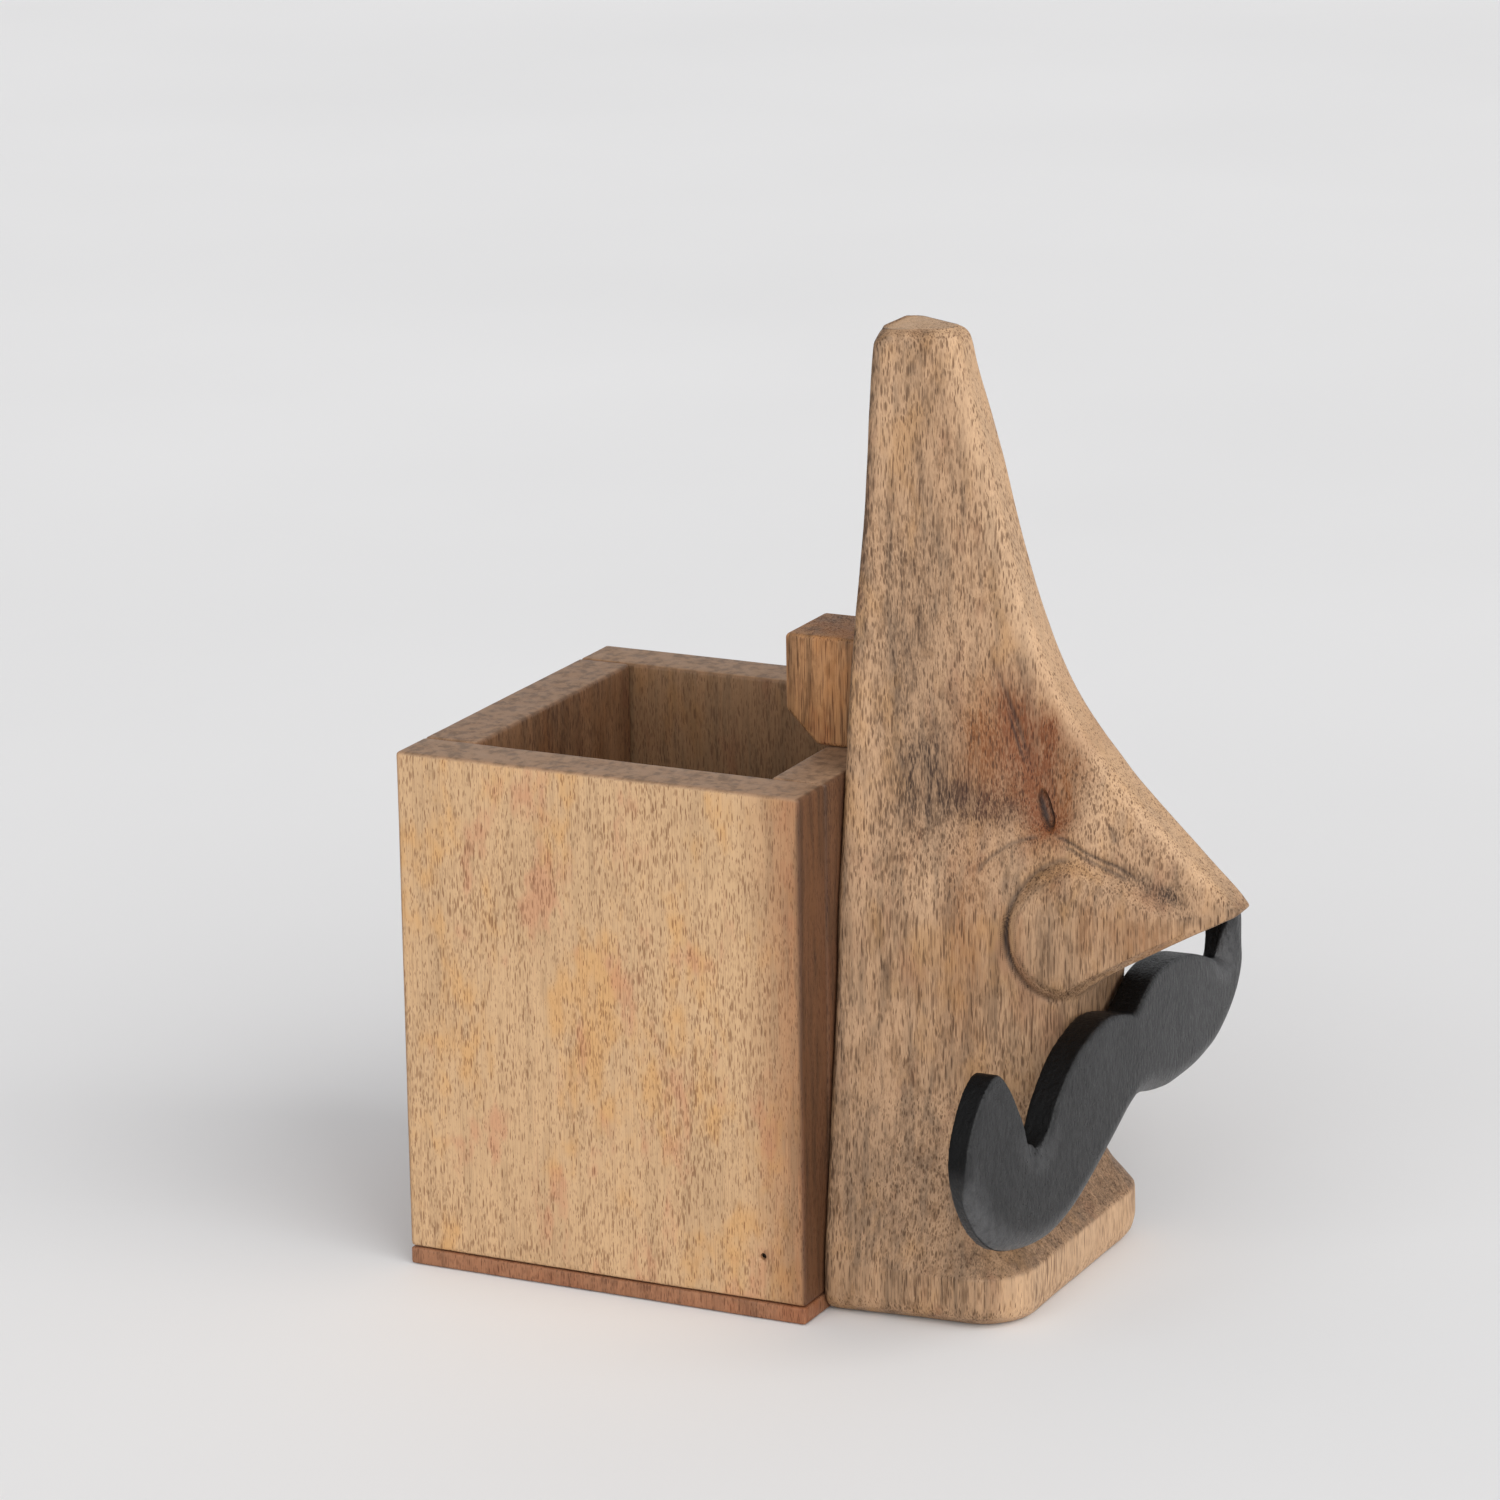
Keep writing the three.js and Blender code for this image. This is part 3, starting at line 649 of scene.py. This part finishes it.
def fillet(corner, before, after, radius, count):
    """Points of a round corner between two straight edges."""
    a = before - corner
    b = after - corner
    la, lb = np.linalg.norm(a), np.linalg.norm(b)
    a, b = a / la, b / lb
    half = math.acos(np.clip(np.dot(a, b), -1, 1)) / 2
    reach = min(radius / math.tan(half), 0.45 * la, 0.9 * lb)
    radius = reach * math.tan(half)
    middle = corner + (a + b) / np.linalg.norm(a + b) * radius / math.sin(half)
    start = corner + a * reach - middle
    end = corner + b * reach - middle
    turn = math.atan2(start[0] * end[1] - start[1] * end[0], np.dot(start, end))
    points = []
    for k in range(count):
        angle = turn * k / (count - 1)
        c, s = math.cos(angle), math.sin(angle)
        points.append(middle + np.array([c * start[0] - s * start[1], s * start[0] + c * start[1]]))
    return points


def half_section(back, reach, front, corner, rear_corner):
    """Half outline of the nose at one height, from the middle of the back to the front."""
    rear = np.array([back, 0.0])
    fore = np.array([front, reach])
    rear_round = fillet(rear, np.array([0.0, 0.0]), fore, rear_corner, 7)
    fore_round = fillet(fore, rear, np.array([0.0, reach]), corner, 9)
    points = [np.array([rear_round[0][0] * k / 4, 0.0]) for k in range(4)]
    points += rear_round
    start, end = rear_round[-1], fore_round[0]
    points += [start + (end - start) * k / NOSE_SIDE_STEPS for k in range(1, NOSE_SIDE_STEPS)]
    points += fore_round
    last = fore_round[-1]
    points += [np.array([last[0] * (1 - k / 5), reach]) for k in range(1, 6)]
    return np.array(points)


def carved_nose(material):
    levels = nose_levels()
    table = [smooth_curve(NOSE_SECTIONS[:, 0], NOSE_SECTIONS[:, c], levels) for c in range(1, 5)]
    rings = []
    marks = {}
    for z, back, reach, front, corner in zip(levels, *table):
        rear_corner = np.interp(z, [150, NOSE_HEIGHT], [0.9, 2.4])
        half = half_section(back, reach, front, corner, rear_corner)
        x, y = half[:, 0], half[:, 1]
        height = np.full_like(y, z)
        on_side = smoothstep(1.5, 4, y) * (1 - smoothstep(reach - 3.0, reach - 0.6, y))
        x = x + side_relief(y, height) * on_side
        ring = np.stack([np.concatenate([x, -x[-2:0:-1]]), -np.concatenate([y, y[-2:0:-1]]),
                         np.full(2 * len(x) - 2, z)], 1)
        rings.append(ring)
        stains_and_shading = side_stains_and_shading(y, height)
        ridge = smoothstep(reach - 4.5, reach - 0.8, y)
        above = smoothstep(64, 70, z)
        lip = 1 - smoothstep(8.2, 9.2, z)
        under = smoothstep(8.5, 10, z) * (1 - smoothstep(48, 56, z))
        # Painted light: the front ridge over the tip and the front of the foot are made paler, where
        # they face the key lamp.
        stains_and_shading["pale"] = np.maximum(stains_and_shading["pale"], ridge * (0.85 * above + 0.95 * lip))
        stains_and_shading["crease_dirt_and_shade"] = np.clip(stains_and_shading["crease_dirt_and_shade"], 0, 1) * (1 - ridge)
        # Painted shade: the front face of the nose below the moustache is darkened.
        stains_and_shading["dark_stain_and_shade"] = np.maximum(stains_and_shading["dark_stain_and_shade"] * (1 - ridge), 0.35 * ridge * under)
        for key, value in stains_and_shading.items():
            marks.setdefault(key, []).append(np.concatenate([value, value[-2:0:-1]]))
    top = rings[-1]
    middle = top.mean(0)
    for share in NOSE_TOP_RINGS:
        rings.append(middle + (top - middle) * share)
        for key, values in marks.items():
            values.append(np.full(len(top), 1.0 if key == "pale" else 0.0))
    count = len(rings[0])
    co = np.concatenate(rings)
    faces = []
    for i in range(len(rings) - 1):
        for j in range(count):
            k = (j + 1) % count
            a, b = i * count, (i + 1) * count
            faces.append((a + k, a + j, b + j, b + k))
    faces.append(tuple(range(count)))
    faces.append(tuple(reversed(range((len(rings) - 1) * count, len(rings) * count))))
    piece = mesh_object("carved_nose", co * MM, faces)
    mesh = piece.data
    normals = np.array([v.normal for v in mesh.vertices])
    co = roughen(co, normals, 17.0, 0.45, 4)
    co = roughen(co, normals, 5.0, 0.12, 9)
    mesh.vertices.foreach_set("co", (co * MM).ravel())
    for key, values in marks.items():
        layer = mesh.attributes.new(key, "FLOAT", "POINT")
        layer.data.foreach_set("value", np.concatenate(values).astype(np.float32))
    fit_to_box(piece, "nose_block")
    return finished(piece, material, "wood_nose", "nose_block")


# Outline of each half of the moustache in its own plane, in millimetres: distance from the
# middle and height, from the notch at the top round the curl towards the notch below. Both
# sweep back by the square of the distance from the middle, and the left one thins out with it.
NOTCH_LEFT = (33.8, 37.4)
NOTCH_RIGHT = (43.8, 35.7)
HAIR_LEFT = [
    (6.7, 48.3), (12, 49.2), (18.1, 48.7), (23.5, 46.7), (28.6, 43), (31.4, 39.3), NOTCH_LEFT,
    (36.6, 40.4), (39.2, 46), (41.6, 51.2), (44.6, 54.8), (48, 53.9), (51.2, 51), (53.6, 47.1),
    (54.7, 43), (54.3, 38.4), (52.6, 34), (49.7, 29.4), (45.2, 25.2), (38.5, 22.4), (31.8, 21.2),
    (25.2, 21.7), (18.2, 23.8), (11.3, 26.4), (4.6, 29),
]
HAIR_RIGHT = [
    (4, 47), (8.5, 48.3), (14.5, 47.8), (20.8, 46.3), (27.2, 43.8), (34.8, 39.8), (41, 36.7),
    NOTCH_RIGHT, (45.2, 38.6), (46, 41.6), (47.2, 43.8), (48.8, 44.2), (50.6, 42.6),
    (52.1, 39.6), (52.8, 35.5), (52.5, 32), (50.6, 29.2), (46.9, 26.5), (41.3, 24.3),
    (34.7, 23.4), (26.5, 23.7), (16.2, 25.2), (10, 27), (4.6, 29),
]
HAIR_TOP = (0, 45.5)
HAIR_BOTTOM = (0, 30)
HAIR_THICK = 5.5
HAIR_THIN = 0.35
HAIR_SPAN = 54.7
HAIR_SWEEP = {"left": 0.00156, "right": 0.001}
HAIR_TILT = 0.1256
HAIR_Z = 38.5
HAIR_STEPS = 7
HAIR_VOXEL = 0.0005


def hair_outline():
    """Closed smooth outline, sharp only in its notches."""
    left = [(-x, z) for x, z in HAIR_LEFT]
    points = np.array([HAIR_TOP] + HAIR_RIGHT + [HAIR_BOTTOM] + left[::-1], float)
    count = len(points)
    right_notch = 1 + HAIR_RIGHT.index(NOTCH_RIGHT)
    left_notch = count - 1 - HAIR_LEFT.index(NOTCH_LEFT)
    sharp = {0, right_notch, len(HAIR_RIGHT) + 1, left_notch}
    smooth = []
    for i in range(count):
        p0, p1, p2, p3 = (points[(i + k) % count] for k in (-1, 0, 1, 2))
        m1 = (p2 - p0) / 2 if i not in sharp else (p2 - p1) * 0.9
        m2 = (p3 - p1) / 2 if (i + 1) % count not in sharp else (p2 - p1) * 0.9
        for k in range(HAIR_STEPS):
            t = k / HAIR_STEPS
            smooth.append((2 * t**3 - 3 * t**2 + 1) * p1 + (t**3 - 2 * t**2 + t) * m1
                          + (-2 * t**3 + 3 * t**2) * p2 + (t**3 - t**2) * m2)
    return np.array(smooth)


def distance_to_edge(x, z, outline):
    """Distance of each point from the closed outline."""
    best = np.full(len(x), 1e9)
    for (x0, z0), (x1, z1) in zip(outline, np.roll(outline, -1, 0)):
        dx, dz = x1 - x0, z1 - z0
        t = np.clip(((x - x0) * dx + (z - z0) * dz) / (dx * dx + dz * dz), 0, 1)
        best = np.minimum(best, np.hypot(x - x0 - t * dx, z - z0 - t * dz))
    return best


def carved_moustache(material):
    outline = hair_outline()
    curve = bpy.data.curves.new("hair_plan", "CURVE")
    curve.dimensions = "2D"
    curve.fill_mode = "BOTH"
    curve.extrude = HAIR_THICK * MM / 2
    spline = curve.splines.new("POLY")
    spline.points.add(len(outline) - 1)
    for point, (x, z) in zip(spline.points, outline):
        point.co = (x * MM, z * MM, 0, 1)
    spline.use_cyclic_u = True
    plan = bpy.data.objects.new("hair_plan", curve)
    bpy.context.scene.collection.objects.link(plan)
    depsgraph = bpy.context.evaluated_depsgraph_get()
    mesh = bpy.data.meshes.new_from_object(plan.evaluated_get(depsgraph))
    bpy.data.objects.remove(plan)
    piece = bpy.data.objects.new("carved_moustache", mesh)
    bpy.context.scene.collection.objects.link(piece)
    weld = piece.modifiers.new("weld", "WELD")
    weld.merge_threshold = 0.00002
    remesh = piece.modifiers.new("remesh", "REMESH")
    remesh.mode = "VOXEL"
    remesh.voxel_size = HAIR_VOXEL
    relax = piece.modifiers.new("relax", "SMOOTH")
    relax.factor = 0.5
    relax.iterations = 5
    apply_modifiers(piece)
    mesh = piece.data
    co = np.array([v.co for v in mesh.vertices]) / MM
    normals = np.array([v.normal for v in mesh.vertices])
    co = roughen(co, normals, 9.0, 0.4, 2)
    edge = distance_to_edge(co[:, 0], co[:, 1], outline)
    under = 1 - smoothstep(-2, 8, co[:, 1] - 33 - 4 * (np.abs(co[:, 0]) > 36))
    radius = 0.9 + 3.2 * under
    normals = normals / np.linalg.norm(normals, axis=1)[:, None]
    # shade marks the upper and side edges that the paint darkens as painted shade.
    shade = (1 - smoothstep(0.2, 0.7, normals[:, 2])) * smoothstep(-0.3, 0.2, normals[:, 1])
    inward = np.clip(radius - edge, 0, radius)
    drop = radius - np.sqrt(radius**2 - inward**2 * 0.98)
    co[:, 2] -= drop * smoothstep(-0.5, 2.2, co[:, 2])
    x, up, out = co[:, 0], co[:, 1] - HAIR_Z, co[:, 2]
    behind = (HAIR_THICK / 2 - out) * (1 - HAIR_THIN * np.where(x < 0, x / HAIR_SPAN, 0) ** 2)
    back = behind + np.where(x < 0, HAIR_SWEEP["left"], HAIR_SWEEP["right"]) * x * x
    c, s = math.cos(HAIR_TILT), math.sin(HAIR_TILT)
    co = np.stack([x * c - up * s, back, x * s + up * c], 1)
    mesh.vertices.foreach_set("co", (co * MM).ravel())
    # Painted reflection of the floor along the rounded lower edge.
    wear_and_reflection = under * (1 - smoothstep(0.8, 5.0, edge)) * smoothstep(0, 0.4, normals[:, 2])
    for key, values in (("upper_edge", shade), ("wear_and_reflection_edge", wear_and_reflection)):
        layer = mesh.attributes.new(key, "FLOAT", "POINT")
        layer.data.foreach_set("value", values.astype(np.float32))
    mesh.shade_smooth()
    fit_to_box(piece, "moustache")
    return finished(piece, material, "black_paint", "moustache")


def rear_brace(material):
    """Small block on the rim behind the nose, its lower rear corner sawn off."""
    low, high = (np.array(v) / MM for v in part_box("brace_block"))
    deep = high[1] - low[1]
    tall = high[2] - low[2]
    chamfer = deep / 3
    side = [(0, 0), (deep - chamfer, 0), (deep, chamfer), (deep, tall), (0, tall)]
    work = bmesh.new()
    ends = []
    for x in (low[0], high[0]):
        ends.append([work.verts.new((x, low[1] + y, low[2] + z)) for y, z in side])
    work.faces.new(ends[0])
    work.faces.new(ends[1][::-1])
    for k in range(len(side)):
        n = (k + 1) % len(side)
        work.faces.new((ends[0][n], ends[0][k], ends[1][k], ends[1][n]))
    bmesh.ops.recalc_face_normals(work, faces=work.faces[:])
    bmesh.ops.bevel(work, geom=work.edges[:], offset=0.8, segments=4, profile=0.5, affect="EDGES")
    for v in work.verts:
        v.co *= MM
    piece = solid("rear_brace", work)
    piece.data.shade_smooth()
    return finished(piece, material, "wood_nose", "brace_block")


def turned(profile, count):
    """A closed turned solid about +Y from (radius, along) points in millimetres."""
    verts, faces = [], []
    for radius, along in profile:
        for k in range(count):
            a = 2 * math.pi * k / count
            verts.append((radius * math.cos(a), along, radius * math.sin(a)))
    rings = len(profile)
    for i in range(rings - 1):
        for k in range(count):
            n = (k + 1) % count
            faces.append((i * count + k, i * count + n, (i + 1) * count + n, (i + 1) * count + k))
    faces.append(tuple(range(count - 1, -1, -1)))
    faces.append(tuple((rings - 1) * count + k for k in range(count)))
    return verts, faces


def pin(node, material):
    """A panel pin with a small domed head, from the outer end of its CAD box inwards."""
    low, high = (np.array(v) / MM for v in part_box(node))
    size = high - low
    axis = int(np.argmax(size))
    radius = min(size) / 2
    length = size[axis]
    head = radius * 1.05
    profile = [(0.02, 0), (head * 0.6, 0.02), (head * 0.95, 0.12), (head, 0.25), (head, 0.5),
               (radius * 0.8, 0.9), (radius * 0.8, length - 2), (0.05, length)]
    verts, faces = turned(profile, PIN_SIDES)
    middle = (low + high) / 2
    co = np.array(verts)
    outward = -1 if middle[axis] < 0 or axis == 2 else 1
    along = co[:, 1].copy()
    across = [a for a in range(3) if a != axis]
    place = np.zeros_like(co)
    start = low[axis] if outward < 0 else high[axis]
    place[:, axis] = start - outward * along
    place[:, across[0]] = middle[across[0]] + co[:, 0]
    place[:, across[1]] = middle[across[1]] + co[:, 2]
    piece = mesh_object(node + "_nail", place * MM, faces)
    work = bmesh.new()
    work.from_mesh(piece.data)
    bmesh.ops.recalc_face_normals(work, faces=work.faces[:])
    work.to_mesh(piece.data)
    work.free()
    piece.data.shade_smooth()
    return finished(piece, material, "steel", node)


def wood_screw(node, material):
    """A countersunk cross-head screw, its head level with the wood, its point along -Y."""
    low, high = (np.array(v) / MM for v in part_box(node))
    head = (high[0] - low[0]) / 2
    shank = head / 2
    length = high[1] - low[1]
    profile = [(0.05, 0.0), (head - 0.3, 0.0), (head, 0.25), (head, 0.5), (shank, 2.6),
               (shank, SCREW_PLAIN)]
    pitch = (length - SCREW_PLAIN - SCREW_END) / SCREW_TURNS
    for k in range(SCREW_TURNS):
        at = SCREW_PLAIN + 0.5 + k * pitch
        profile += [(shank * 0.72, at), (shank, at + pitch * 0.45), (shank * 0.72, at + pitch * 0.9)]
    profile += [(shank * 0.5, length - 1.5), (0.05, length)]
    verts, faces = turned(profile, SCREW_SIDES)
    co = np.array(verts)
    middle = (low + high) / 2
    place = np.stack([middle[0] + co[:, 0], high[1] - co[:, 1], middle[2] + co[:, 2]], 1)
    piece = mesh_object(node + "_body", place * MM, faces)
    work = bmesh.new()
    for wide, tall in ((head * 1.1, 0.9), (0.9, head * 1.1)):
        made = bmesh.ops.create_cube(work, size=1.0)
        for v in made["verts"]:
            v.co = Vector((middle[0] + v.co.x * wide, high[1] + v.co.y * 2.4,
                           middle[2] + v.co.z * tall)) * MM
    cut(piece, solid("cross", work), use_self=True)
    return finished(piece, material, "steel", node)


# ---------------------------------------------------------------- the stand

# Faces of the well that differ from the rest of a board, as wood() takes them
well_low = np.array(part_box("side_panel_left")[0]) / MM
well_high = np.array(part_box("side_panel_right")[1]) / MM
wall = well_high[0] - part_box("side_panel_right")[0].x / MM
# The inner walls of the well are darker brown: partly the wood's own tone, partly painted shade
# inside the well.
inner_shade_brown = (104, 70, 44)
rim = (2, well_high[2] - 0.7, well_high[2] - 0.1, (156, 124, 97), 0.95, 0.85)
# The nose end of the well's boards is darkened: partly darker wood, partly painted shade where the
# nose keeps the light off.
shaded_nose_end = (1, well_low[1] + 0.9, well_low[1] + 0.2, (92, 58, 36), 0.88, 0.2)
rear_end = (1, well_high[1] - 0.9, well_high[1] - 0.2, (150, 112, 80), 0.7, 0.3)
inner_left = (0, well_low[0] + wall - 0.6, well_low[0] + wall - 0.2, inner_shade_brown, 0.8, 0.2)
inner_right = (0, well_high[0] - wall + 0.6, well_high[0] - wall + 0.2, (112, 76, 48), 0.75, 0.2)
inner_nose = (1, well_low[1] + wall - 0.6, well_low[1] + wall - 0.2, inner_shade_brown, 0.6, 0.2)
inner_rear = (1, well_high[1] - wall + 0.6, well_high[1] - wall + 0.2, inner_shade_brown, 0.6, 0.2)
wear_and_reflection_edge = (1, well_low[1] + 12, well_low[1] - 1, (148, 96, 60), 0.75, 0.1)
pale = dict(base=(196, 161, 122), dash=(120, 82, 52), warm=(202, 152, 92), red=(190, 134, 100))
brown = dict(base=(158, 118, 84), dash=(92, 58, 36), warm=(164, 110, 68), red=(140, 92, 66))
panel_wood = {
    "side_panel_left": wood("pale_wood_left", seed=1, figure=0.28, dashes=0.78, lean=0.02,
                            faces=[wear_and_reflection_edge, rim, shaded_nose_end, rear_end, inner_left], **pale),
    "side_panel_right": wood("pale_wood_right", seed=2, figure=0.3, dashes=0.78,
                             faces=[rim, shaded_nose_end, rear_end, inner_right], **pale),
    "nose_side_panel": wood("brown_wood_nose", seed=3, figure=1.0, dashes=1.0,
                            faces=[rim, shaded_nose_end, inner_nose], **brown),
    "rear_panel": wood("brown_wood_rear", seed=4, figure=1.0, dashes=1.0,
                       faces=[rim, inner_rear], **brown),
}
nose_wood = wood(
    "carved_wood", base=(164, 131, 100), dash=(84, 58, 38), warm=(172, 130, 84), red=(146, 106, 78),
    seed=5, figure=1.05, patches=0.55, dashes=0.85, length=2.2,
    stains_and_shading=[("pale", (204, 168, 132), 0.8, 0.35), ("amber", (130, 82, 40), 0.95, 0.5),
            ("dark_stain_and_shade", (66, 45, 29), 0.95, 0.7), ("red", (114, 63, 27), 1.0, 0.45),
            ("crease_dirt_and_shade", (36, 20, 13), 1.0, 0.0)])
brace_wood = wood("brace_wood", base=(172, 126, 84), dash=(92, 56, 32), warm=(180, 120, 66),
                  red=(150, 92, 58), seed=8, figure=1.1, dashes=0.9, length=5.0)
base_wood = wood("base_wood", base=(150, 104, 74), dash=(96, 58, 38), warm=(150, 92, 58),
                 red=(122, 70, 46), seed=6, figure=0.6)
dowel_wood = wood("dowel_wood", base=(200, 165, 125), dash=(160, 120, 84), warm=(204, 160, 112),
                  red=(196, 150, 116), seed=7, figure=0.3)
paint = black_paint()
pin_steel = steel("pin_steel", (70, 62, 56), 0.5)
screw_steel = steel("screw_steel", (176, 172, 166), 0.35)

for index, (node, material) in enumerate(panel_wood.items()):
    made = board(node + "_board", node, material, "wood_pale", edge=0.8, seed=index + 1)
    if node == "side_panel_left":
        pin_mouth(made, "corner_pin_left_nose_lower")
board("base_board", "bottom_plate", base_wood, "wood_base", edge=0.6, seed=7, wear_and_reflection=0.2)
carved_nose(nose_wood)
carved_moustache(paint)
rear_brace(brace_wood)
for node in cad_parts:
    if node.startswith("corner_pin") or node.startswith("base_pin"):
        pin(node, pin_steel)
    elif "screw" in node:
        wood_screw(node, screw_steel)
    elif "dowel" in node:
        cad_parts[node].data.materials.clear()
        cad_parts[node].data.materials.append(dowel_wood)


# ---------------------------------------------------------------- floor, light and camera

def studio():
    """White paper floor, a soft sky and two broad suns."""
    bpy.ops.mesh.primitive_circle_add(vertices=96, radius=6.0, fill_type="NGON")
    floor = bpy.context.object
    floor.name = "floor"
    m = Nodes("floor_paper")
    soft = m.noise(m.place((0.004, 0.004, 0.004)), 1.0, 3)
    m.put(m.shader.inputs["Base Color"],
          m.ramp(soft, [(0.3, (0.83, 0.83, 0.83)), (0.7, (0.86, 0.86, 0.86))]))
    m.shader.inputs["Roughness"].default_value = 0.9
    m.shader.inputs["Specular IOR Level"].default_value = 0.1
    floor.data.materials.append(m.material)

    world = bpy.data.worlds.new("studio")
    bpy.context.scene.world = world
    world.use_nodes = True
    tree = world.node_tree
    sky = tree.nodes["Background"]
    coords = tree.nodes.new("ShaderNodeTexCoord")
    split = tree.nodes.new("ShaderNodeSeparateXYZ")
    ramp = tree.nodes.new("ShaderNodeValToRGB")
    tree.links.new(coords.outputs["Generated"], split.inputs[0])
    tree.links.new(split.outputs[2], ramp.inputs[0])
    tree.links.new(ramp.outputs[0], sky.inputs[0])
    ramp.color_ramp.elements[0].position = 0.05
    ramp.color_ramp.elements[0].color = (0.85, 0.86, 0.88, 1)
    ramp.color_ramp.elements[1].position = 0.75
    ramp.color_ramp.elements[1].color = (0.3, 0.3, 0.31, 1)
    sky.inputs[1].default_value = 1.0

    def sun(name, direction, strength, spread, colour):
        light = bpy.data.lights.new(name, "SUN")
        light.energy = strength
        light.angle = math.radians(spread)
        light.color = colour
        lamp = bpy.data.objects.new(name, light)
        lamp.rotation_euler = Vector(direction).to_track_quat("Z", "Y").to_euler()
        bpy.context.scene.collection.objects.link(lamp)

    sun("key", (-0.25, -0.85, 0.5), 1.75, 60, (1.0, 0.985, 0.97))
    sun("fill", (-0.9, -0.15, 0.5), 1.45, 70, (1.0, 0.99, 0.98))


def photo_camera():
    az, el = math.radians(CAMERA_AZIMUTH), math.radians(CAMERA_ELEVATION)
    forward = Vector((math.sin(-az) * math.cos(el), math.cos(az) * math.cos(el), -math.sin(el)))
    target = Vector(CAMERA_TARGET) * MM
    camera = bpy.data.objects.new("camera", bpy.data.cameras.new("camera"))
    camera.location = target - forward * CAMERA_DISTANCE * MM
    level = forward.to_track_quat("-Z", "Y").to_matrix().to_4x4()
    level = level @ Matrix.Rotation(math.radians(CAMERA_ROLL), 4, "Z")
    camera.rotation_euler = level.to_euler()
    camera.data.lens = CAMERA_LENS
    camera.data.sensor_width = 36
    camera.data.clip_end = 20
    bpy.context.scene.collection.objects.link(camera)
    bpy.context.scene.camera = camera


studio()
photo_camera()
bpy.context.scene.view_settings.view_transform = "Standard"
